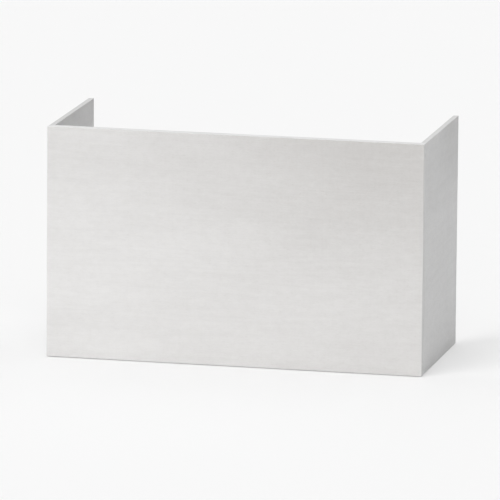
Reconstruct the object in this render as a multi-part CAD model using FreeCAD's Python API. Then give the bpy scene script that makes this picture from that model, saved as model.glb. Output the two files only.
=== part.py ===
"""Portable folding facade of a DJ booth, in white-washed wood.

A long framed front stands on the floor, with a board wing hinged behind each end. In use the wings
stand square to the front and hide the table between them. To be carried, both wings fold in flat
behind the front, side by side, where magnetic catches hold them.

Millimetres. +X runs along the front, +Y from the front to the open back, +Z up. The origin is on
the floor, at the middle of the footprint.
"""
import FreeCAD
import Part
import os

from FreeCAD import Vector

# Overall size
LENGTH = 1828.8
DEPTH = 812.8
HEIGHT = 1117.6

# Front panel, the frame behind it, and the wing boards
PANEL_THICKNESS = 12.7
FRAME_DEPTH = 38.1
RAIL_WIDTH = 63.5
STILE_WIDTH = 63.5
WING_THICKNESS = 25.4
EDGE_ROUND = 1.0
CORNER_ROUND = 1.5
CORNER_GAP = 1.0

# Dowels in the frame's joints
DOWEL_DIAMETER = 9.5
DOWEL_LENGTH = 50.8
DOWEL_SPACING = 30.0
DOWEL_CHAMFER = 1.0
DOWEL_CLEARANCE = 0.1
DOWEL_END_GAP = 1.0

# Brads that hold the panel to the frame, set below its face and filled over
BRAD_DIAMETER = 1.2
BRAD_LENGTH = 32.0
BRAD_HEAD_DIAMETER = 2.0
BRAD_HEAD_HEIGHT = 0.8
BRAD_POINT = 2.0
BRAD_SET = 1.5
BRAD_PITCH = 150.0
BRAD_CLEARANCE = 0.05

# Butt hinges in the inner corners
HINGE_HEIGHT = 76.2
HINGE_INSET = 86.5
LEAF_WIDTH = 30.0
LEAF_THICKNESS = 2.0
LEAF_CORNER = 4.0
KNUCKLE_DIAMETER = 9.0
KNUCKLE_COUNT = 5
KNUCKLE_GAP = 0.3
KNUCKLE_CLEARANCE = 0.3
PIN_DIAMETER = 5.0
PIN_CLEARANCE = 0.05
PIN_HEAD_DIAMETER = 7.6
PIN_HEAD_HEIGHT = 2.0

# Countersunk screws of the hinges
HINGE_SCREW_DIAMETER = 4.2
HINGE_SCREW_LENGTH = 19.0
HINGE_SCREW_HEAD = 8.0
HINGE_SCREW_END = 11.0
HINGE_SCREW_EDGE = 9.0
HINGE_SCREW_STAGGER = 8.0

# Blunt point of every brad, screw and nail
POINT_RADIUS = 0.2

# Shared by every countersunk screw
SCREW_RIM = 0.2
SCREW_SLOT = 0.9
SCREW_SLOT_DEPTH = 1.1
SCREW_CLEARANCE = 0.1

# Nail-on glides
GLIDE_DIAMETER = 20.0
GLIDE_HEIGHT = 4.0
GLIDE_ROUND = 1.0
GLIDE_INSET = 60.0
FRONT_GLIDES = 4
WING_GLIDES = 2
NAIL_DIAMETER = 2.5
NAIL_LENGTH = 25.0
NAIL_HEAD_DIAMETER = 6.0
NAIL_HEAD_HEIGHT = 1.2
NAIL_POINT = 4.0
NAIL_RECESS = 1.5
NAIL_CLEARANCE = 0.05

# Magnetic catches, on the mid stiles
CATCH_HEIGHT = 38.0
CATCH_WIDTH = 15.0
CATCH_SEAT = 16.0
CATCH_WALL = 1.6
CATCH_ROUND = 1.2
EAR_LENGTH = 12.0
EAR_THICKNESS = 2.6
EAR_WIDTH = 12.0
MAGNET_THICKNESS = 6.0
POLE_THICKNESS = 1.2
POLE_PROUD = 1.0
CATCH_FIT = 0.1
CATCH_AIR_GAP = 0.5
STRIKE_INSET = 139.0
STRIKE_HEIGHT = 44.0
STRIKE_WIDTH = 16.0
STRIKE_THICKNESS = 1.5
STRIKE_CORNER = 3.0
CATCH_SCREW_DIAMETER = 3.0
CATCH_SCREW_LENGTH = 14.0
CATCH_SCREW_HEAD = 5.4
STRIKE_SCREW_END = 9.0

# How far a cutting shape passes the face that it opens, and how near counts as touching
OVERSHOOT = 1.0
TOUCHING = 1e-6

# Faces and lines that several pieces share
FRONT_FACE = -DEPTH / 2
PANEL_BACK = FRONT_FACE + PANEL_THICKNESS
FRAME_BACK = PANEL_BACK + FRAME_DEPTH
FRAME_MIDDLE = PANEL_BACK + FRAME_DEPTH / 2
BACK_EDGE = DEPTH / 2
END = LENGTH / 2
BOTTOM = GLIDE_HEIGHT
TOP = HEIGHT
MIDDLE = (BOTTOM + TOP) / 2
WING_INSIDE = END - WING_THICKNESS
WING_MIDDLE = END - WING_THICKNESS / 2
WING_FRONT = FRAME_BACK + CORNER_GAP
STILE_FOOT = BOTTOM + RAIL_WIDTH
STILE_HEAD = TOP - RAIL_WIDTH
HINGE_OFFSET = KNUCKLE_DIAMETER / 2 + KNUCKLE_CLEARANCE
HINGE_X = WING_INSIDE - HINGE_OFFSET
HINGE_Y = FRAME_BACK + HINGE_OFFSET
HINGE_LEVELS = {"lower": STILE_FOOT + HINGE_INSET, "middle": MIDDLE, "upper": STILE_HEAD - HINGE_INSET}
STRIKE_Y = BACK_EDGE - STRIKE_INSET
CATCH_X = HINGE_X - (STRIKE_Y - HINGE_Y)
END_STILE = END - STILE_WIDTH / 2
MID_STILE = CATCH_X + CATCH_WIDTH / 2 + STILE_WIDTH / 2
STILE_LINES = [-END_STILE, -MID_STILE, MID_STILE, END_STILE]

nodes = {}


def box(x, y, z):
    """Block between the two values given for each axis."""
    return Part.makeBox(x[1] - x[0], y[1] - y[0], z[1] - z[0], Vector(x[0], y[0], z[0]))


def edges_where(shape, *planes):
    """Edges of a block that lie in every plane given, each an axis number and a value."""
    return [
        edge
        for edge in shape.Edges
        if all(abs(point.Point[axis] - value) < TOUCHING for axis, value in planes for point in edge.Vertexes)
    ]


def turned(outline):
    """Solid of revolution about Z of an outline of (radius, height) points."""
    points = [Vector(radius, 0, height) for radius, height in outline]
    face = Part.Face(Part.makePolygon(points + points[:1]))
    return face.revolve(Vector(0, 0, 0), Vector(0, 0, 1), 360)


def stood(shape, points):
    """Copies of a shape, upright as it was drawn, one at each point."""
    return [shape.translated(point) for point in points]


def driven(shape, points, direction):
    """Copies of a shape that was drawn pointing down -Z, one at each point, turned to a direction."""
    turn = FreeCAD.Rotation(Vector(0, 0, -1), direction)
    copies = [shape.copy() for point in points]
    for copy, point in zip(copies, points):
        copy.Placement = FreeCAD.Placement(point, turn)
    return copies


def mirrored(shape):
    """The same piece for the left end."""
    return shape.mirror(Vector(0, 0, 0), Vector(1, 0, 0))


def evenly(first, last, count):
    """Values from first to last in equal steps."""
    return [first + (last - first) * step / (count - 1) for step in range(count)]


def pair(name, shape):
    """Keeps a piece of the right end and its mirror image at the left end."""
    nodes["right_" + name] = shape
    nodes["left_" + name] = mirrored(shape)


def screw_outline(diameter, length, head, growth, above):
    """Outline of a countersunk screw, head's face at height 0, widened by growth and drawn up by above."""
    shank_radius = diameter / 2 + growth
    head_radius = head / 2 + growth
    neck = SCREW_RIM + head_radius - shank_radius
    return [
        (0, above),
        (head_radius, above),
        (head_radius, -SCREW_RIM),
        (shank_radius, -neck),
        (shank_radius, diameter - length),
        (POINT_RADIUS + growth, -length - growth),
        (0, -length - growth),
    ]


def screw(diameter, length, head):
    """Countersunk wood screw, pointing down -Z, with a cross recess two thirds as wide as its head."""
    solid = turned(screw_outline(diameter, length, head, 0, 0))
    reach = head / 3
    half = SCREW_SLOT / 2
    depth = (-SCREW_SLOT_DEPTH, OVERSHOOT)
    slots = [box((-reach, reach), (-half, half), depth), box((-half, half), (-reach, reach), depth)]
    return solid.cut(slots)


def screw_hole(diameter, length, head):
    """Room for such a screw in what it is driven through and into."""
    return turned(screw_outline(diameter, length, head, SCREW_CLEARANCE, OVERSHOOT))


# Dowels: two upright in each joint of a stile with a rail
dowel_radius = DOWEL_DIAMETER / 2
dowel = turned([
    (0, -DOWEL_LENGTH / 2),
    (dowel_radius - DOWEL_CHAMFER, -DOWEL_LENGTH / 2),
    (dowel_radius, DOWEL_CHAMFER - DOWEL_LENGTH / 2),
    (dowel_radius, DOWEL_LENGTH / 2 - DOWEL_CHAMFER),
    (dowel_radius - DOWEL_CHAMFER, DOWEL_LENGTH / 2),
    (0, DOWEL_LENGTH / 2),
])
dowel_bore = Part.makeCylinder(
    dowel_radius + DOWEL_CLEARANCE,
    DOWEL_LENGTH + 2 * DOWEL_END_GAP,
    Vector(0, 0, -DOWEL_LENGTH / 2 - DOWEL_END_GAP),
)
dowel_points = [
    Vector(line + side * DOWEL_SPACING / 2, FRAME_MIDDLE, joint)
    for line in STILE_LINES
    for side in (-1, 1)
    for joint in (STILE_FOOT, STILE_HEAD)
]
nodes["frame_dowels"] = Part.makeCompound(stood(dowel, dowel_points))
dowel_bores = stood(dowel_bore, dowel_points)


def brad_outline(growth):
    """Outline of a brad that points down -Z from its head, widened by growth."""
    radius = BRAD_DIAMETER / 2 + growth
    head_radius = BRAD_HEAD_DIAMETER / 2 + growth
    return [
        (0, growth),
        (head_radius, growth),
        (head_radius, -BRAD_HEAD_HEIGHT - growth),
        (radius, -BRAD_HEAD_HEIGHT - growth),
        (radius, BRAD_POINT - BRAD_LENGTH),
        (POINT_RADIUS + growth, -BRAD_LENGTH - growth),
        (0, -BRAD_LENGTH - growth),
    ]


def brad_row(first, last):
    """Places of brads between two lines, about a pitch apart and half as far from each line."""
    count = max(1, round((last - first) / BRAD_PITCH))
    return [first + (last - first) * (step + 0.5) / count for step in range(count)]


# Brads: rows along both rails between the stiles and along each stile, driven from the front
rail_levels = (BOTTOM + RAIL_WIDTH / 2, TOP - RAIL_WIDTH / 2)
rail_rows = [x for left, right in zip(STILE_LINES, STILE_LINES[1:]) for x in brad_row(left, right)]
brad_places = [(x, z) for z in rail_levels for x in rail_rows]
brad_places += [(x, z) for x in STILE_LINES for z in brad_row(STILE_FOOT, STILE_HEAD)]
brad_points = [Vector(x, FRONT_FACE + BRAD_SET, z) for x, z in brad_places]
inward = Vector(0, 1, 0)
nodes["panel_brads"] = Part.makeCompound(driven(turned(brad_outline(0)), brad_points, inward))
brad_holes = driven(turned(brad_outline(BRAD_CLEARANCE)), brad_points, inward)

# Glides: a pad and its nail, drawn with the pad's foot at the origin
pad_radius = GLIDE_DIAMETER / 2
recess_radius = NAIL_HEAD_DIAMETER / 2 + NAIL_CLEARANCE
nail_hole_radius = NAIL_DIAMETER / 2 + NAIL_CLEARANCE
nail_seat = NAIL_RECESS + NAIL_HEAD_HEIGHT
nail_top = NAIL_RECESS + NAIL_LENGTH
glide_pad = turned([
    (recess_radius, 0),
    (pad_radius - GLIDE_ROUND, 0),
    (pad_radius, GLIDE_ROUND),
    (pad_radius, GLIDE_HEIGHT),
    (nail_hole_radius, GLIDE_HEIGHT),
    (nail_hole_radius, nail_seat),
    (recess_radius, nail_seat),
])
glide_nail = turned([
    (0, NAIL_RECESS),
    (NAIL_HEAD_DIAMETER / 2, NAIL_RECESS),
    (NAIL_HEAD_DIAMETER / 2, nail_seat),
    (NAIL_DIAMETER / 2, nail_seat),
    (NAIL_DIAMETER / 2, nail_top - NAIL_POINT),
    (POINT_RADIUS, nail_top),
    (0, nail_top),
])
nail_bore = Part.makeCylinder(nail_hole_radius, nail_top + NAIL_CLEARANCE)
front_glide_row = evenly(-END + GLIDE_INSET, END - GLIDE_INSET, FRONT_GLIDES)
front_glide_points = [Vector(x, FRAME_MIDDLE, 0) for x in front_glide_row]
wing_glide_row = evenly(WING_FRONT + GLIDE_INSET, BACK_EDGE - GLIDE_INSET, WING_GLIDES)
wing_glide_points = [Vector(WING_MIDDLE, y, 0) for y in wing_glide_row]
nodes["front_glide_pads"] = Part.makeCompound(stood(glide_pad, front_glide_points))
nodes["front_glide_nails"] = Part.makeCompound(stood(glide_nail, front_glide_points))
pair("wing_glide_pads", Part.makeCompound(stood(glide_pad, wing_glide_points)))
pair("wing_glide_nails", Part.makeCompound(stood(glide_nail, wing_glide_points)))
front_nail_bores = stood(nail_bore, front_glide_points)
wing_nail_bores = stood(nail_bore, wing_glide_points)

# Hinges: leaves are drawn about their axis at the origin, for the right-hand corner
knuckle_radius = KNUCKLE_DIAMETER / 2
knuckle_length = (HINGE_HEIGHT - (KNUCKLE_COUNT - 1) * KNUCKLE_GAP) / KNUCKLE_COUNT
knuckle_feet = [step * (knuckle_length + KNUCKLE_GAP) - HINGE_HEIGHT / 2 for step in range(KNUCKLE_COUNT)]


def upright(radius, foot, height):
    """Round bar about the hinge axis."""
    return Part.makeCylinder(radius, height, Vector(0, 0, foot))


def leaf(own, other):
    """Leaf that lies on the frame, left of the axis, with its own knuckles and room for the other's."""
    ends = (-HINGE_HEIGHT / 2, HINGE_HEIGHT / 2)
    plate = box((-LEAF_WIDTH, 0), (-HINGE_OFFSET, LEAF_THICKNESS - HINGE_OFFSET), ends)
    corners = [edge for end in ends for edge in edges_where(plate, (0, -LEAF_WIDTH), (2, end))]
    plate = plate.makeFillet(LEAF_CORNER, corners)
    clear_length = knuckle_length + 2 * KNUCKLE_GAP
    clear_radius = knuckle_radius + KNUCKLE_CLEARANCE + LEAF_THICKNESS
    plate = plate.cut([upright(clear_radius, foot - KNUCKLE_GAP, clear_length) for foot in other])
    plate = plate.fuse([upright(knuckle_radius, foot, knuckle_length) for foot in own])
    bore_radius = PIN_DIAMETER / 2 + PIN_CLEARANCE
    bore = upright(bore_radius, ends[0] - OVERSHOOT, HINGE_HEIGHT + 2 * OVERSHOOT)
    return plate.cut(bore).removeSplitter()


def across_corner(shape):
    """Swaps the frame's side of the hinge for the wing's side."""
    return shape.mirror(Vector(0, 0, 0), Vector(1, 1, 0))


frame_leaf = leaf(knuckle_feet[0::2], knuckle_feet[1::2])
wing_leaf = across_corner(leaf(knuckle_feet[1::2], knuckle_feet[0::2]))
pin_radius = PIN_DIAMETER / 2
pin_end = HINGE_HEIGHT / 2 + KNUCKLE_GAP
hinge_pin = turned([
    (0, -pin_end - PIN_HEAD_HEIGHT),
    (pin_radius, -pin_end - PIN_HEAD_HEIGHT),
    (PIN_HEAD_DIAMETER / 2, -pin_end - PIN_HEAD_HEIGHT / 2),
    (PIN_HEAD_DIAMETER / 2, -pin_end),
    (pin_radius, -pin_end),
    (pin_radius, pin_end),
    (PIN_HEAD_DIAMETER / 2, pin_end),
    (PIN_HEAD_DIAMETER / 2, pin_end + PIN_HEAD_HEIGHT / 2),
    (pin_radius, pin_end + PIN_HEAD_HEIGHT),
    (0, pin_end + PIN_HEAD_HEIGHT),
])
hinge_screw = screw(HINGE_SCREW_DIAMETER, HINGE_SCREW_LENGTH, HINGE_SCREW_HEAD)
hinge_screw_hole = screw_hole(HINGE_SCREW_DIAMETER, HINGE_SCREW_LENGTH, HINGE_SCREW_HEAD)
leaf_face = HINGE_OFFSET - LEAF_THICKNESS
far_screw = LEAF_WIDTH - HINGE_SCREW_EDGE
near_screw = far_screw - HINGE_SCREW_STAGGER
end_screw = HINGE_HEIGHT / 2 - HINGE_SCREW_END
leaf_screws = [(near_screw, -end_screw), (far_screw, 0), (near_screw, end_screw)]
forward = Vector(0, -1, 0)
outward = Vector(1, 0, 0)
frame_screws = []
frame_screw_holes = []
wing_screws = []
wing_screw_holes = []
for level, height in HINGE_LEVELS.items():
    axis = Vector(HINGE_X, HINGE_Y, height)
    frame_points = [axis + Vector(-reach, -leaf_face, rise) for reach, rise in leaf_screws]
    wing_points = [axis + Vector(leaf_face, reach, rise) for reach, rise in leaf_screws]
    frame_cuts = driven(hinge_screw_hole, frame_points, forward)
    wing_cuts = driven(hinge_screw_hole, wing_points, outward)
    pair(level + "_hinge_frame_leaf", frame_leaf.translated(axis).cut(frame_cuts))
    pair(level + "_hinge_wing_leaf", wing_leaf.translated(axis).cut(wing_cuts))
    pair(level + "_hinge_pin", hinge_pin.translated(axis))
    frame_screws += driven(hinge_screw, frame_points, forward)
    wing_screws += driven(hinge_screw, wing_points, outward)
    frame_screw_holes += frame_cuts
    wing_screw_holes += wing_cuts
pair("hinge_frame_screws", Part.makeCompound(frame_screws))
pair("hinge_wing_screws", Part.makeCompound(wing_screws))

# Magnetic catch: a housing on the mid stile's inner side, its poles just short of the folded wing's strike
stile_side = MID_STILE - STILE_WIDTH / 2
strike_face = FRAME_BACK + 2 * HINGE_OFFSET - STRIKE_THICKNESS
pole_tip = strike_face - CATCH_AIR_GAP
housing_back = pole_tip - POLE_PROUD
housing_front = FRAME_BACK - CATCH_SEAT
catch_foot = MIDDLE - CATCH_HEIGHT / 2
catch_head = MIDDLE + CATCH_HEIGHT / 2
housing_side = stile_side - CATCH_WIDTH
ear_face = stile_side - EAR_THICKNESS
housing = box((housing_side, stile_side), (housing_front, housing_back), (catch_foot, catch_head))
housing = housing.makeFillet(CATCH_ROUND, edges_where(housing, (0, housing_side)))
ears = box(
    (ear_face, stile_side),
    (housing_front, housing_front + EAR_WIDTH),
    (catch_foot - EAR_LENGTH, catch_head + EAR_LENGTH),
)
stack = MAGNET_THICKNESS + 2 * POLE_THICKNESS
stack_side = CATCH_X - stack / 2
pocket_floor = housing_front + CATCH_WALL
pocket_foot = catch_foot + CATCH_WALL + CATCH_ROUND
pocket_head = catch_head - CATCH_WALL - CATCH_ROUND
pocket = box(
    (stack_side - CATCH_FIT, stack_side + stack + CATCH_FIT),
    (pocket_floor, housing_back + OVERSHOOT),
    (pocket_foot, pocket_head),
)
pole_heights = (pocket_foot + CATCH_FIT, pocket_head - CATCH_FIT)
pole = box((stack_side, stack_side + POLE_THICKNESS), (pocket_floor, pole_tip), pole_heights)
magnet = box(
    (stack_side + POLE_THICKNESS, stack_side + POLE_THICKNESS + MAGNET_THICKNESS),
    (pocket_floor, housing_back),
    pole_heights,
)
catch_screw = screw(CATCH_SCREW_DIAMETER, CATCH_SCREW_LENGTH, CATCH_SCREW_HEAD)
catch_screw_hole = screw_hole(CATCH_SCREW_DIAMETER, CATCH_SCREW_LENGTH, CATCH_SCREW_HEAD)
ear_levels = (catch_foot - EAR_LENGTH / 2, catch_head + EAR_LENGTH / 2)
catch_points = [Vector(ear_face, housing_front + EAR_WIDTH / 2, z) for z in ear_levels]
catch_holes = driven(catch_screw_hole, catch_points, outward)
pole_step = Vector(MAGNET_THICKNESS + POLE_THICKNESS, 0, 0)
pair("catch_housing", housing.fuse(ears).cut([pocket] + catch_holes).removeSplitter())
pair("catch_magnet", magnet)
pair("catch_poles", Part.makeCompound([pole, pole.translated(pole_step)]))
pair("catch_screws", Part.makeCompound(driven(catch_screw, catch_points, outward)))

# Strike plate: on the wing's inside, where the folded wing meets the catch
strike_front = WING_INSIDE - STRIKE_THICKNESS
strike_sides = (STRIKE_Y - STRIKE_WIDTH / 2, STRIKE_Y + STRIKE_WIDTH / 2)
strike_ends = (MIDDLE - STRIKE_HEIGHT / 2, MIDDLE + STRIKE_HEIGHT / 2)
strike = box((strike_front, WING_INSIDE), strike_sides, strike_ends)
corners = [edge for y in strike_sides for z in strike_ends for edge in edges_where(strike, (1, y), (2, z))]
strike = strike.makeFillet(STRIKE_CORNER, corners)
strike_levels = (strike_ends[0] + STRIKE_SCREW_END, strike_ends[1] - STRIKE_SCREW_END)
strike_points = [Vector(strike_front, STRIKE_Y, z) for z in strike_levels]
strike_holes = driven(catch_screw_hole, strike_points, outward)
pair("strike_plate", strike.cut(strike_holes))
pair("strike_screws", Part.makeCompound(driven(catch_screw, strike_points, outward)))

# Front panel: a sheet with its front edges softened
panel = box((-END, END), (FRONT_FACE, PANEL_BACK), (BOTTOM, TOP))
panel = panel.makeFillet(EDGE_ROUND, edges_where(panel, (1, FRONT_FACE)))
nodes["front_panel"] = panel.cut(brad_holes)

# Rails: full length, the back edges that stay free softened
for name, foot, free in (("bottom_rail", BOTTOM, BOTTOM), ("top_rail", STILE_HEAD, TOP)):
    rail = box((-END, END), (PANEL_BACK, FRAME_BACK), (foot, foot + RAIL_WIDTH))
    soft = edges_where(rail, (1, FRAME_BACK), (2, free))
    soft += edges_where(rail, (1, FRAME_BACK), (0, -END))
    soft += edges_where(rail, (1, FRAME_BACK), (0, END))
    nodes[name] = rail.makeFillet(EDGE_ROUND, soft).cut(dowel_bores + brad_holes + front_nail_bores)


def stile(line):
    """Upright between the rails."""
    sides = (line - STILE_WIDTH / 2, line + STILE_WIDTH / 2)
    return box(sides, (PANEL_BACK, FRAME_BACK), (STILE_FOOT, STILE_HEAD))


# End stiles carry the hinges, mid stiles the catches
end_stile = stile(END_STILE)
end_stile = end_stile.makeFillet(EDGE_ROUND, edges_where(end_stile, (0, END), (1, FRAME_BACK)))
pair("stile", end_stile.cut(dowel_bores + brad_holes + frame_screw_holes))
pair("mid_stile", stile(MID_STILE).cut(dowel_bores + brad_holes + catch_holes))

# Wings: one board each, all edges softened, the upright ones a little more
board = box((WING_INSIDE, END), (WING_FRONT, BACK_EDGE), (BOTTOM, TOP))
corner_lines = [(x, y) for x in (WING_INSIDE, END) for y in (WING_FRONT, BACK_EDGE)]
uprights = [edge for x, y in corner_lines for edge in edges_where(board, (0, x), (1, y))]
board = board.makeFillet(CORNER_ROUND, uprights)
board = board.makeFillet(EDGE_ROUND, edges_where(board, (2, BOTTOM)) + edges_where(board, (2, TOP)))
pair("wing_board", board.cut(wing_screw_holes + strike_holes + wing_nail_bores))

os.makedirs("parts", exist_ok=True)
for name, shape in nodes.items():
    shape.exportStep("parts/%s.step" % name)
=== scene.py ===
"""Looks of a portable folding DJ booth facade: a framed front with a board wing hinged behind each end,
all in whitewashed wood. Metres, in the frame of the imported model: +X along the front, +Y to the open back.
"""
import bpy
import math
import numpy as np
from mathutils import Matrix, Vector


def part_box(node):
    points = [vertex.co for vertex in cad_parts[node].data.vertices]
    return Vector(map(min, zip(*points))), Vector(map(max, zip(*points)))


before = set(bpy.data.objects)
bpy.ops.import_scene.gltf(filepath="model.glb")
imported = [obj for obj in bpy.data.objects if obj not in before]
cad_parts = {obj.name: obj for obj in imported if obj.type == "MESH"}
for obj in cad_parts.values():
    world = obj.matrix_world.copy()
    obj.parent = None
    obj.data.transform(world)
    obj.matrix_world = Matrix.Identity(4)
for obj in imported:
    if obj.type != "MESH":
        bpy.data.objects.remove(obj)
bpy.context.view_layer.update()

# Rails and stiles: planed softwood, doweled into a flat frame that stiffens the front panel from behind.
# They are brushed with a thin white wash that lets the grain show faintly along each piece.
# Handling has worn the wash a little at the edges.


def add(tree, kind, sockets=(), **settings):
    """New node of a kind. Sockets maps a socket's name or number to a value, or to an output to link from."""
    node = tree.nodes.new(kind)
    for name, value in settings.items():
        setattr(node, name, value)
    for name, value in dict(sockets).items():
        if isinstance(value, bpy.types.NodeSocket):
            tree.links.new(value, node.inputs[name])
        else:
            node.inputs[name].default_value = value
    return node


def effect(name, inputs, outputs):
    """New node group, with its input and output sockets. Each socket is a name and a kind."""
    tree = bpy.data.node_groups.new(name, "ShaderNodeTree")
    for way, sockets in (("INPUT", inputs), ("OUTPUT", outputs)):
        for socket, kind in sockets.items():
            tree.interface.new_socket(name=socket, in_out=way, socket_type="NodeSocket" + kind)
    return tree, tree.nodes.new("NodeGroupInput").outputs, tree.nodes.new("NodeGroupOutput").inputs


def put_out(tree, sockets, values):
    """Links what a node group has worked out to its output sockets."""
    for name, value in values.items():
        tree.links.new(value, sockets[name])


def placed(tree, group, sockets):
    """Outputs of one use of a node group."""
    return add(tree, "ShaderNodeGroup", sockets, node_tree=group).outputs


def maths(tree, operation, first, second=0.0, third=0.0):
    """One sum on one, two or three numbers."""
    return add(tree, "ShaderNodeMath", {0: first, 1: second, 2: third}, operation=operation).outputs[0]


def vectors(tree, operation, first, second=(0, 0, 0)):
    """One sum on one or two vectors."""
    return add(tree, "ShaderNodeVectorMath", {0: first, 1: second}, operation=operation).outputs["Vector"]


def parted(tree, vector):
    """The three numbers of a vector."""
    return add(tree, "ShaderNodeSeparateXYZ", {0: vector}).outputs


def eased(tree, value, span, ends=(0.0, 1.0)):
    """Goes in an S-curve from the first end to the second while the value goes over a span."""
    sockets = {"Value": value, "From Min": span[0], "From Max": span[1]}
    sockets.update({"To Min": ends[0], "To Max": ends[1]})
    return add(tree, "ShaderNodeMapRange", sockets, interpolation_type="SMOOTHSTEP").outputs["Result"]


def noise(tree, vector, spread, detail, roughness=0.55):
    """Noise from 0 to 1, with its own number of features to the metre along each axis."""
    sockets = {"Vector": vectors(tree, "MULTIPLY", vector, spread), "Scale": 1.0}
    sockets.update({"Detail": detail, "Roughness": roughness})
    return add(tree, "ShaderNodeTexNoise", sockets).outputs["Fac"]


def mixed(tree, share, first, second):
    """Colour on the way from the first colour to the second, by a share from 0 to 1."""
    return add(tree, "ShaderNodeMix", {0: share, 6: first, 7: second}, data_type="RGBA").outputs[2]


def tone(level, warmth=0.0):
    """Grey of a level, made warmer by taking a share of its blue and half that share of its green."""
    return (level, level * (1 - warmth / 2), level * (1 - warmth), 1)


def raised(tree, shader, height, depth, strength):
    """Shades the surface as if it rose by a height from 0 to 1 times a depth."""
    bump = add(tree, "ShaderNodeBump", {"Strength": strength, "Distance": depth, "Height": height})
    tree.links.new(bump.outputs[0], shader.inputs["Normal"])


def new_finish(name):
    """New material, with its node tree, its shader and the outputs that tell a point's place."""
    material = bpy.data.materials.new(name)
    material.use_nodes = True
    tree = material.node_tree
    return material, tree, tree.nodes["Principled BSDF"], tree.nodes.new("ShaderNodeTexCoord").outputs


def dress(material, *nodes):
    """Gives pieces of the frame their finish."""
    for node in nodes:
        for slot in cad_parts[node].material_slots:
            slot.material = material


# Spans for eased: a whole range, and the parts of a noise's range that are drawn out over a whole one
WHOLE = (0.0, 1.0)
NOISE_WIDE = (0.2, 0.8)
NOISE_MIDDLE = (0.3, 0.7)
NOISE_NARROW = (0.35, 0.65)

# Wood, with its grain along X: growth lines are level lines of a long noise, over fibres, finer threads of
# fibre, and short pores. A spread is the number of features to the metre along X, Y and Z.
GROWTH_SPREAD = (0.45, 5.0, 5.0)
GROWTH_LINES = 85.0
SINE_RANGE = (-1.0, 1.0)
FIBRE_SPREAD = (7.0, 260.0, 260.0)
THREAD_SPREAD = (22.0, 950.0, 950.0)
PORE_SPREAD = (55.0, 1500.0, 1500.0)
PORE_SPAN = (0.60, 0.72)
wood_grain, goes_in, comes_out = effect(
    "wood_grain",
    {"Vector": "Vector"},
    {"Figure": "Float", "Fibres": "Float", "Threads": "Float", "Pores": "Float"},
)
growth = noise(wood_grain, goes_in["Vector"], GROWTH_SPREAD, detail=2.0)
lines = maths(wood_grain, "SINE", maths(wood_grain, "MULTIPLY", growth, GROWTH_LINES))
fibres = noise(wood_grain, goes_in["Vector"], FIBRE_SPREAD, detail=4.0, roughness=0.6)
threads = noise(wood_grain, goes_in["Vector"], THREAD_SPREAD, detail=2.0)
pores = noise(wood_grain, goes_in["Vector"], PORE_SPREAD, detail=1.0)
grain_parts = {
    "Figure": eased(wood_grain, lines, SINE_RANGE),
    "Fibres": fibres,
    "Threads": threads,
    "Pores": eased(wood_grain, pores, PORE_SPAN),
}
put_out(wood_grain, comes_out, grain_parts)

# Brushed wash, with its strokes along X: broad clouds, the marks of the bristles, and a fine mottle
CLOUD_SPREAD = (2.0, 5.0, 5.0)
STROKE_SPREAD = (3.0, 48.0, 48.0)
MOTTLE_SPREAD = (26.0, 38.0, 38.0)
brushed_wash, goes_in, comes_out = effect(
    "brushed_wash", {"Vector": "Vector"}, {"Clouds": "Float", "Strokes": "Float", "Mottle": "Float"}
)
clouds = noise(brushed_wash, goes_in["Vector"], CLOUD_SPREAD, detail=3.0)
strokes = noise(brushed_wash, goes_in["Vector"], STROKE_SPREAD, detail=5.0, roughness=0.62)
mottle = noise(brushed_wash, goes_in["Vector"], MOTTLE_SPREAD, detail=5.0, roughness=0.72)
put_out(brushed_wash, comes_out, {"Clouds": clouds, "Strokes": strokes, "Mottle": mottle})

# Edges of a block: 1 where two of its faces meet, falling to 0 within the width given
block_edges, goes_in, comes_out = effect(
    "block_edges",
    {"Vector": "Vector", "Centre": "Vector", "Half size": "Vector", "Width": "Float"},
    {"Edge": "Float"},
)
offset = vectors(block_edges, "SUBTRACT", goes_in["Vector"], goes_in["Centre"])
from_centre = vectors(block_edges, "ABSOLUTE", offset)
depths = parted(block_edges, vectors(block_edges, "SUBTRACT", goes_in["Half size"], from_centre))
nearer = maths(block_edges, "MINIMUM", depths[0], depths[1])
farther = maths(block_edges, "MAXIMUM", depths[0], depths[1])
second_depth = maths(block_edges, "MINIMUM", farther, maths(block_edges, "MAXIMUM", nearer, depths[2]))
edge_share = maths(block_edges, "DIVIDE", second_depth, goes_in["Width"])
put_out(block_edges, comes_out, {"Edge": eased(block_edges, edge_share, WHOLE, (1.0, 0.0))})

# Plies: the edges of a sheet are 1 and its two broad faces 0, and each second ply is 1 where it shows there
PLY_SEAM = (0.3, -0.3)
FACE_TO_EDGE = (0.0004, 0.001)
ply_edges, goes_in, comes_out = effect(
    "ply_edges",
    {"Across": "Float", "Half thickness": "Float", "Ply": "Float"},
    {"Edge": "Float", "Cross plies": "Float"},
)
from_middle = maths(ply_edges, "ABSOLUTE", goes_in["Across"])
inside = maths(ply_edges, "SUBTRACT", goes_in["Half thickness"], from_middle)
from_face = maths(ply_edges, "ADD", goes_in["Across"], goes_in["Half thickness"])
turns = maths(ply_edges, "MULTIPLY", maths(ply_edges, "DIVIDE", from_face, goes_in["Ply"]), math.pi)
cross = eased(ply_edges, maths(ply_edges, "SINE", turns), PLY_SEAM)
on_edge = eased(ply_edges, inside, FACE_TO_EDGE)
ply_parts = {"Edge": on_edge, "Cross plies": maths(ply_edges, "MULTIPLY", cross, on_edge)}
put_out(ply_edges, comes_out, ply_parts)

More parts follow.
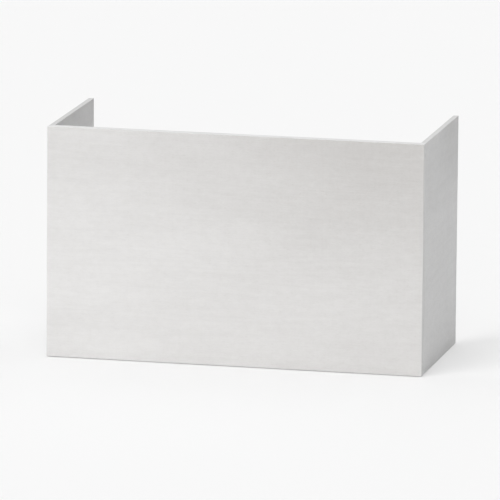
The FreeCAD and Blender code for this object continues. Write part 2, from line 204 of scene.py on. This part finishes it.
# The wash: its tones, how much each pattern counts in its cover, and how it wears, soaks in and shines.
# A pair goes with a span: what the start of the span gives, and what its end gives.
X = 0
Y = 1
Z = 2
GRAIN_TURN = {X: (0, 0, 0), Y: (0, 0, math.pi / 2), Z: (0, math.pi / 2, 0)}
PATTERN_SHIFT = 3.7
THIN_WASH = 0.62
THIN_WARMTH = 1.5
THICK_WASH = 0.92
THICK_WARMTH = 0.5
CLOUD_WEIGHT = 0.26
MOTTLE_WEIGHT = 0.32
STROKE_WEIGHT = 0.1
FIBRE_WEIGHT = 0.12
THREAD_WEIGHT = 0.2
WORN_WOOD = (0.55, 0.525, 0.485, 1)
WEAR_WIDTH = 0.0022
EDGE_WEAR = (0.0, 0.12)
BARE_PORES = (0.55, 0.2)
SOAKED_PLY = (0.525, 0.52, 0.51, 1)
PLY_SOAK = (0.3, 0.6)
WASH_ROUGHNESS = (0.88, 0.72)
WASH_SHEEN = 0.2
PORE_SINK = -0.8
STROKE_RISE = 0.7
WASH_DEPTH = 0.0003


def whitewashed(node, along, warmth, figure, cover, plies=None, painted_shading=()):
    """Brushed white wash on one board, with the grain along an axis.

    The wash goes from thin at a cover of 0 to thick at 1. To the board's own cover is added the weighted sum
    of how far clouds, mottle, growth lines, strokes, fibres and threads are from their middles. figure is the
    weight of the growth lines. plies is for plywood: the axis across the plies, their count, and how much of
    the wash soaks into its edges. The last argument lists painted light and shade on a plywood face, drawn as
    wash that runs thicker or thinner: how much it changes and, for each axis that it follows, the part of the
    board over which it does.
    """
    material, tree, shader, place = new_finish(node + "_wash")
    low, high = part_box(node)
    centre = (low + high) / 2
    half = (high - low) / 2
    turned = {"Vector": place["Object"], "Rotation": GRAIN_TURN[along], "Location": centre * PATTERN_SHIFT}
    own = add(tree, "ShaderNodeMapping", turned).outputs[0]
    wood = placed(tree, wood_grain, {"Vector": own})
    wash = placed(tree, brushed_wash, {"Vector": own})
    rim = {"Vector": place["Object"], "Centre": centre, "Half size": half, "Width": WEAR_WIDTH}
    edge = placed(tree, block_edges, rim)["Edge"]
    patterns = (
        (wash["Clouds"], CLOUD_WEIGHT),
        (wash["Mottle"], MOTTLE_WEIGHT),
        (wood["Figure"], -figure),
        (wash["Strokes"], STROKE_WEIGHT),
        (wood["Fibres"], FIBRE_WEIGHT),
        (wood["Threads"], THREAD_WEIGHT),
    )
    cover -= sum(weight for pattern, weight in patterns) / 2
    for pattern, weight in patterns:
        cover = maths(tree, "MULTIPLY_ADD", pattern, weight, cover)
    if plies:
        axis, count, soak = plies
        xyz = parted(tree, place["Object"])
        across = maths(tree, "SUBTRACT", xyz[axis], centre[axis])
        sheet = {"Across": across, "Half thickness": half[axis], "Ply": 2 * half[axis] / count}
        ply = placed(tree, ply_edges, sheet)
        on_face = maths(tree, "SUBTRACT", 1.0, ply["Edge"])
        # Painted light and shade: the wash runs thicker or thinner over parts of a plywood face.
        for change, spans in painted_shading:
            for follows, span in spans.items():
                share = maths(tree, "SUBTRACT", xyz[follows], low[follows])
                share = maths(tree, "DIVIDE", share, 2 * half[follows])
                change = maths(tree, "MULTIPLY", eased(tree, share, span), change)
            cover = maths(tree, "MULTIPLY_ADD", change, on_face, cover)
        cover = maths(tree, "MULTIPLY_ADD", ply["Edge"], -soak, cover)
    thin = tone(THIN_WASH, warmth * THIN_WARMTH)
    thick = tone(THICK_WASH, warmth * THICK_WARMTH)
    colour = mixed(tree, cover, thin, thick)
    if plies:
        edge_colour = mixed(tree, cover, tone(THIN_WASH), tone(THICK_WASH))
        soaked = eased(tree, wood["Fibres"], NOISE_MIDDLE, PLY_SOAK)
        soaked = maths(tree, "MULTIPLY", ply["Cross plies"], soaked)
        colour = mixed(tree, ply["Edge"], colour, mixed(tree, soaked, edge_colour, SOAKED_PLY))
    bare = maths(tree, "MULTIPLY", wood["Pores"], eased(tree, cover, NOISE_WIDE, BARE_PORES))
    rubbed = maths(tree, "MULTIPLY", edge, eased(tree, wash["Strokes"], NOISE_NARROW, EDGE_WEAR))
    bare = maths(tree, "MAXIMUM", bare, rubbed)
    tree.links.new(mixed(tree, bare, colour, WORN_WOOD), shader.inputs["Base Color"])
    rough = eased(tree, wash["Mottle"], NOISE_WIDE, WASH_ROUGHNESS)
    tree.links.new(rough, shader.inputs["Roughness"])
    shader.inputs["Specular IOR Level"].default_value = WASH_SHEEN
    relief = maths(tree, "MULTIPLY_ADD", wood["Pores"], PORE_SINK, wood["Threads"])
    relief = maths(tree, "MULTIPLY_ADD", wash["Strokes"], STROKE_RISE, relief)
    raised(tree, shader, relief, depth=WASH_DEPTH, strength=0.4)
    dress(material, node)


for node in ("top_rail", "bottom_rail"):
    whitewashed(node, along=X, warmth=0.0, figure=0.2, cover=0.42)
for node in ("left_stile", "left_mid_stile", "right_mid_stile", "right_stile"):
    whitewashed(node, along=Z, warmth=0.005, figure=0.2, cover=0.37)

# Dowels: beech pins glued upright into the ends of the stiles and into the rails, two in each joint.
# They are bare turned wood, with pale growth lines and the dark flecks of beech along them.
BEECH_PALE = (0.80, 0.645, 0.475, 1)
BEECH_DARK = (0.68, 0.51, 0.345, 1)
BEECH_FLECK = (0.42, 0.27, 0.16, 1)
BEECH_CLOSENESS = (4, 4, 4)
BEECH_ROUGHNESS = (0.5, 0.7)
BEECH_DEPTH = 0.0002
FLECK_SHARE = 0.6
beech, tree, shader, place = new_finish("bare_beech")
upright = {"Vector": place["Object"], "Rotation": GRAIN_TURN[Z], "Scale": BEECH_CLOSENESS}
wood = placed(tree, wood_grain, {"Vector": add(tree, "ShaderNodeMapping", upright).outputs[0]})
beech_colour = mixed(tree, wood["Figure"], BEECH_PALE, BEECH_DARK)
flecks = maths(tree, "MULTIPLY", wood["Pores"], FLECK_SHARE)
tree.links.new(mixed(tree, flecks, beech_colour, BEECH_FLECK), shader.inputs["Base Color"])
tree.links.new(eased(tree, wood["Fibres"], NOISE_WIDE, BEECH_ROUGHNESS), shader.inputs["Roughness"])
raised(tree, shader, wood["Fibres"], depth=BEECH_DEPTH, strength=0.4)
dress(beech, "frame_dowels")

# Front panel: half-inch plywood with its face grain along the booth, glued and bradded to the frame.
# The brads are set and filled, and the whole face is washed in long strokes. Painted shade thins the wash to
# the top, to the right, most at the upper right, and at the foot; a little painted light thickens it a third
# of the way up.
PANEL_PLIES = 9
PANEL_SOAK = 0.225
# Painted light and shade on the front's face: how much the wash changes, and over what part of the board.
PANEL_PAINTED_SHADING = (
    (-0.262, {Z: (0.3, 1)}),
    (0.11, {Z: (0, 1)}),
    (-0.235, {X: (0, 1)}),
    (-0.235, {X: (0, 1), Z: (0, 1)}),
    (-0.06, {Z: (0.05, 0)}),
)
sheet = {"plies": (Y, PANEL_PLIES, PANEL_SOAK), "painted_shading": PANEL_PAINTED_SHADING}
whitewashed("front_panel", along=X, warmth=0.033, figure=0.03, cover=0.8, **sheet)

# Brads: short drawn-steel pins, driven through the panel into the frame and set below its face.
# The wire has fine lines along it and a thin grey scale from the drawing.
STEEL_BRIGHT = (0.66, 0.67, 0.68, 1)
STEEL_DULL = (0.50, 0.505, 0.51, 1)
STEEL_SCALE = (0.22, 0.21, 0.20, 1)
STEEL_ROUGHNESS = (0.4, 0.26)

# Bright metal, with its lines along Z: lines of the rolling or drawing, cloudy patches, and small specks
LINE_SPREAD = (2600.0, 2600.0, 70.0)
PATCH_SPREAD = (110.0, 110.0, 75.0)
SPECK_SPREAD = (1500.0, 1500.0, 1500.0)
SPECK_SPAN = (0.66, 0.76)
metal_skin, goes_in, comes_out = effect(
    "metal_skin", {"Vector": "Vector"}, {"Lines": "Float", "Patches": "Float", "Specks": "Float"}
)
drawn = noise(metal_skin, goes_in["Vector"], LINE_SPREAD, detail=2.0)
patches = noise(metal_skin, goes_in["Vector"], PATCH_SPREAD, detail=4.0, roughness=0.6)
specks = noise(metal_skin, goes_in["Vector"], SPECK_SPREAD, detail=1.0)
metal_parts = {
    "Lines": eased(metal_skin, drawn, NOISE_MIDDLE),
    "Patches": eased(metal_skin, patches, NOISE_MIDDLE),
    "Specks": eased(metal_skin, specks, SPECK_SPAN),
}
put_out(metal_skin, comes_out, metal_parts)

SPECK_SHARE = 0.7
LINE_ROUGHNESS = 0.08
METAL_DEPTH = 0.00003


def bright_metal(name, bright, dull, speck, roughness):
    """Metal that is bright or dull in patches, dark in specks, and a little rougher along its lines.

    roughness is that of the dull patches and of the bright ones.
    """
    material, tree, shader, place = new_finish(name)
    skin = placed(tree, metal_skin, {"Vector": place["Object"]})
    colour = mixed(tree, skin["Patches"], dull, bright)
    colour = mixed(tree, maths(tree, "MULTIPLY", skin["Specks"], SPECK_SHARE), colour, speck)
    tree.links.new(colour, shader.inputs["Base Color"])
    rough = eased(tree, skin["Patches"], WHOLE, roughness)
    rough = maths(tree, "MULTIPLY_ADD", skin["Lines"], LINE_ROUGHNESS, rough)
    tree.links.new(rough, shader.inputs["Roughness"])
    shader.inputs["Metallic"].default_value = 1.0
    relief = maths(tree, "SUBTRACT", skin["Lines"], skin["Specks"])
    raised(tree, shader, relief, depth=METAL_DEPTH, strength=0.3)
    return material, tree, shader, place


steel = bright_metal("drawn_steel", STEEL_BRIGHT, STEEL_DULL, STEEL_SCALE, STEEL_ROUGHNESS)[0]
dress(steel, "panel_brads")

# Wings: inch-thick plywood boards with their grain from front to rear, washed on both sides and all edges.
# Each stands behind an end of the front and swings in on its hinges. Painted shade thins the wash to the top
# of both, to the upper rear corner of the right one, and at the foot.
WING_PLIES = 13
LEFT_SOAK = 0.36
RIGHT_SOAK = 0.21
# Painted shade on the wings: darker to the top, at the foot, and to the right wing's upper rear corner.
WING_PAINTED_SHADE = ((-0.12, {Z: (0.3, 1)}), (-0.15, {Z: (0.07, 0)}))
CORNER_PAINTED_SHADE = ((-0.26, {Y: (0, 1), Z: (0.65, 0.9)}),)
sheet = {"plies": (X, WING_PLIES, LEFT_SOAK), "painted_shading": WING_PAINTED_SHADE}
whitewashed("left_wing_board", along=Y, warmth=0.002, figure=0.03, cover=0.515, **sheet)
sheet = {"plies": (X, WING_PLIES, RIGHT_SOAK), "painted_shading": WING_PAINTED_SHADE + CORNER_PAINTED_SHADE}
whitewashed("right_wing_board", along=Y, warmth=0.002, figure=0.03, cover=0.475, **sheet)

# Glides: moulded nylon pads under the front and the wings, each held by a steel nail with a sunken head.
# Their feet are scuffed grey by the floor.
NYLON_CLEAR = (0.80, 0.785, 0.735, 1)
NYLON_MILKY = (0.88, 0.87, 0.835, 1)
NYLON_ROUGHNESS = (0.38, 0.52)
NYLON_DEPTH = 0.00004
FLOOR_GRIME = (0.33, 0.31, 0.28, 1)
SCUFF_HEIGHT = 0.0018
SCUFF_SHARE = 0.75
SCRATCH_SPREAD = (900.0, 240.0, 240.0)

# Moulded plastic: milky flow patches, and the fine dimples of the mould's spark-worn wall
FLOW_SPREAD = (70.0, 70.0, 130.0)
DIMPLE_SPREAD = (2200.0, 2200.0, 2200.0)
moulded_skin, goes_in, comes_out = effect(
    "moulded_skin", {"Vector": "Vector"}, {"Flow": "Float", "Dimples": "Float"}
)
flow = noise(moulded_skin, goes_in["Vector"], FLOW_SPREAD, detail=3.0)
dimples = noise(moulded_skin, goes_in["Vector"], DIMPLE_SPREAD, detail=1.0)
moulded_parts = {
    "Flow": eased(moulded_skin, flow, NOISE_MIDDLE),
    "Dimples": eased(moulded_skin, dimples, NOISE_MIDDLE),
}
put_out(moulded_skin, comes_out, moulded_parts)


def moulded_nylon(name):
    """Nylon with its milky patches and dimples. Gives the material, tree, shader, place and colour."""
    material, tree, shader, place = new_finish(name)
    skin = placed(tree, moulded_skin, {"Vector": place["Object"]})
    colour = mixed(tree, skin["Flow"], NYLON_CLEAR, NYLON_MILKY)
    tree.links.new(colour, shader.inputs["Base Color"])
    tree.links.new(eased(tree, skin["Dimples"], WHOLE, NYLON_ROUGHNESS), shader.inputs["Roughness"])
    raised(tree, shader, skin["Dimples"], depth=NYLON_DEPTH, strength=0.35)
    return material, tree, shader, place, colour


glide_nylon, tree, shader, place, colour = moulded_nylon("glide_nylon")
near_floor = eased(tree, parted(tree, place["Object"])[Z], (0.0, SCUFF_HEIGHT), (SCUFF_SHARE, 0.0))
scratches = noise(tree, place["Object"], SCRATCH_SPREAD, detail=3.0)
scuffs = maths(tree, "MULTIPLY", near_floor, eased(tree, scratches, NOISE_NARROW))
tree.links.new(mixed(tree, scuffs, colour, FLOOR_GRIME), shader.inputs["Base Color"])
dress(glide_nylon, "front_glide_pads", "left_wing_glide_pads", "right_wing_glide_pads")
dress(steel, "front_glide_nails", "left_wing_glide_nails", "right_wing_glide_nails")

# Hinges: three butt hinges in each inner corner, their leaves stamped and rolled from zinc-plated steel.
# A headed pin runs through the knuckles. Three countersunk screws, plated a little duller, hold each leaf.
ZINC_BRIGHT = (0.78, 0.785, 0.785, 1)
ZINC_DULL = (0.62, 0.635, 0.66, 1)
ZINC_SPECK = (0.36, 0.36, 0.365, 1)
ZINC_ROUGHNESS = (0.42, 0.24)
SCREW_BRIGHT = (0.66, 0.66, 0.65, 1)
SCREW_DULL = (0.48, 0.485, 0.49, 1)
SCREW_ROUGHNESS = (0.46, 0.3)
SIDES = ("left", "right")
zinc = bright_metal("zinc_plate", ZINC_BRIGHT, ZINC_DULL, ZINC_SPECK, ZINC_ROUGHNESS)[0]
screw_zinc = bright_metal("screw_zinc", SCREW_BRIGHT, SCREW_DULL, ZINC_SPECK, SCREW_ROUGHNESS)[0]
for side in SIDES:
    for level in ("lower", "middle", "upper"):
        hinge = "%s_%s_hinge_" % (side, level)
        dress(zinc, hinge + "frame_leaf", hinge + "wing_leaf", hinge + "pin")
    dress(screw_zinc, side + "_hinge_frame_screws", side + "_hinge_wing_screws")

# Catches: a nylon housing screwed to each mid stile holds a ferrite magnet between two steel pole plates.
# The ferrite is a pressed and fired block: dark, grainy, and paler where its edges have chipped.
FERRITE_DARK = (0.095, 0.095, 0.105, 1)
FERRITE_GRAIN = (0.16, 0.16, 0.17, 1)
FERRITE_CHIP = (0.30, 0.295, 0.29, 1)
FERRITE_SPREAD = (2400.0, 2400.0, 2400.0)
FERRITE_ROUGHNESS = (0.55, 0.8)
FERRITE_DEPTH = 0.00008
CHIP_WIDTH = 0.0007
CHIP_SPAN = (0.45, 0.6)
catch_nylon = moulded_nylon("catch_nylon")[0]
for side in SIDES:
    magnet = side + "_catch_magnet"
    low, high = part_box(magnet)
    ferrite, tree, shader, place = new_finish(magnet + "_ferrite")
    grain = noise(tree, place["Object"], FERRITE_SPREAD, detail=2.0, roughness=0.7)
    rim = {"Vector": place["Object"], "Centre": (low + high) / 2, "Half size": (high - low) / 2}
    rim["Width"] = CHIP_WIDTH
    edge = placed(tree, block_edges, rim)["Edge"]
    chips = maths(tree, "MULTIPLY", edge, eased(tree, grain, CHIP_SPAN))
    ferrite_colour = mixed(tree, eased(tree, grain, NOISE_MIDDLE), FERRITE_DARK, FERRITE_GRAIN)
    tree.links.new(mixed(tree, chips, ferrite_colour, FERRITE_CHIP), shader.inputs["Base Color"])
    tree.links.new(eased(tree, grain, NOISE_MIDDLE, FERRITE_ROUGHNESS), shader.inputs["Roughness"])
    raised(tree, shader, grain, depth=FERRITE_DEPTH, strength=0.5)
    dress(ferrite, magnet)
    dress(catch_nylon, side + "_catch_housing")
    dress(zinc, side + "_catch_poles")
    dress(screw_zinc, side + "_catch_screws")

# Strike plates: zinc-plated steel, screwed to the inside of each wing where the folded wing meets its catch.
# The poles have rubbed the plating dull in a patch at the middle of the plate.
RUBBED_ZINC = (0.47, 0.475, 0.48, 1)
RUB_REACH = (0.0044, 0.011)
RUB_SHARE = 0.8
RUB_SPREAD = (300.0, 1600.0, 180.0)
RUB_SPAN = (0.4, 0.6)
for side in SIDES:
    plate = side + "_strike_plate"
    low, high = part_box(plate)
    plating = (plate + "_zinc", ZINC_BRIGHT, ZINC_DULL, ZINC_SPECK, ZINC_ROUGHNESS)
    struck, tree, shader, place = bright_metal(*plating)
    from_middle = vectors(tree, "SUBTRACT", place["Object"], (low + high) / 2)
    reach = add(tree, "ShaderNodeVectorMath", {0: from_middle}, operation="LENGTH").outputs["Value"]
    rubs = eased(tree, noise(tree, place["Object"], RUB_SPREAD, detail=3.0), RUB_SPAN)
    rubs = maths(tree, "MULTIPLY", rubs, eased(tree, reach, RUB_REACH, (RUB_SHARE, 0.0)))
    plated = shader.inputs["Base Color"].links[0].from_socket
    tree.links.new(mixed(tree, rubs, plated, RUBBED_ZINC), shader.inputs["Base Color"])
    dress(struck, plate)
    dress(screw_zinc, side + "_strike_screws")

# Floor: a wide sheet of pale studio paper. The camera sees part of its own light, so that the sheet and
# the background have one tone, and the booth's shadow stays on it.
FLOOR_REACH = 90.0
PAPER_TONE = 0.94
PAPER_SHARE = 0.64
PAPER_GLOW = 0.3408
BACKGROUND_TONE = 0.939


def seen_directly(tree):
    """1 for the camera's rays and for what it sees in metal or glass, 0 for light on its way to a surface."""
    rays = add(tree, "ShaderNodeLightPath").outputs
    mirrored = maths(tree, "MAXIMUM", rays["Is Glossy Ray"], rays["Is Transmission Ray"])
    return maths(tree, "MAXIMUM", rays["Is Camera Ray"], mirrored)


paper, tree, shader, place = new_finish("studio_paper")
direct = seen_directly(tree)
paper_colour = mixed(tree, direct, tone(PAPER_TONE), tone(PAPER_TONE * PAPER_SHARE))
tree.links.new(paper_colour, shader.inputs["Base Color"])
tree.links.new(maths(tree, "MULTIPLY", direct, PAPER_GLOW), shader.inputs["Emission Strength"])
shader.inputs["Emission Color"].default_value = tone(1.0)
shader.inputs["Roughness"].default_value = 1.0
shader.inputs["Specular IOR Level"].default_value = 0.0
floor_mesh = bpy.data.meshes.new("studio_floor")
corners = FLOOR_REACH * np.array([(-1, -1, 0), (1, -1, 0), (1, 1, 0), (-1, 1, 0)])
floor_mesh.from_pydata(corners.tolist(), [], [(0, 1, 2, 3)])
floor_mesh.materials.append(paper)
floor = bpy.data.objects.new("studio_floor", floor_mesh)
bpy.context.scene.collection.objects.link(floor)

# Light: four broad soft boxes, and a narrower one at the front left that gives the shadow on the right.
# All are far off, so that the paper is lit evenly around the booth. Each has its direction from the booth,
# its level, and its width in degrees. A level of 1 would show a white sheet that faces the box as white.
SOFT_BOXES = {
    "front": ((0, -1, 1), 0.479, 70),
    "front_left": ((-0.6, -0.8, 1.6), 0.243, 30),
    "right": ((1, 0.6, 1.2), 0.21, 70),
    "rear": ((0, 1, 2.5), 0.182, 70),
    "rear_left": ((-1, 1, 1.2), 0.204, 70),
}
for name, (direction, level, width) in SOFT_BOXES.items():
    lamp = bpy.data.lights.new(name, "SUN")
    lamp.energy = level * math.pi
    lamp.angle = math.radians(width)
    hung = bpy.data.objects.new(name, lamp)
    hung.rotation_mode = "QUATERNION"
    hung.rotation_quaternion = Vector(direction).to_track_quat("Z", "Y")
    bpy.context.scene.collection.objects.link(hung)
world = bpy.data.worlds.new("studio_background")
world.use_nodes = True
bpy.context.scene.world = world
background = world.node_tree.nodes["Background"]
background.inputs["Color"].default_value = tone(BACKGROUND_TONE)
world.node_tree.links.new(seen_directly(world.node_tree), background.inputs["Strength"])

# Camera: a long lens from the right of the front and a little above the booth, rolled by half a degree.
# Its focal length is in pixels of the picture, and its sensor in millimetres.
PICTURE_SIZE = 500
FOCAL_LENGTH = 8000.0
SENSOR_WIDTH = 36.0
AZIMUTH = math.radians(12.833)
ELEVATION = math.radians(11.055)
ROLL = math.radians(0.475)
DISTANCE = 38.3279
AIM = Vector((-0.01436, 0, 0.489176))
level_right = Vector((math.cos(AZIMUTH), math.sin(AZIMUTH), 0))
level_back = Vector((math.sin(AZIMUTH), -math.cos(AZIMUTH), 0))
back = level_back * math.cos(ELEVATION) + Vector((0, 0, math.sin(ELEVATION)))
level_up = back.cross(level_right)
right = level_right * math.cos(ROLL) + level_up * math.sin(ROLL)
up = level_up * math.cos(ROLL) - level_right * math.sin(ROLL)
lens = bpy.data.cameras.new("camera")
lens.sensor_width = SENSOR_WIDTH
lens.lens = FOCAL_LENGTH * SENSOR_WIDTH / PICTURE_SIZE
lens.clip_end = 2 * FLOOR_REACH
camera = bpy.data.objects.new("camera", lens)
turn = Matrix((right, up, back)).transposed().to_4x4()
camera.matrix_world = Matrix.Translation(AIM + back * DISTANCE) @ turn
bpy.context.scene.collection.objects.link(camera)
bpy.context.scene.camera = camera
bpy.context.scene.view_settings.view_transform = "Standard"
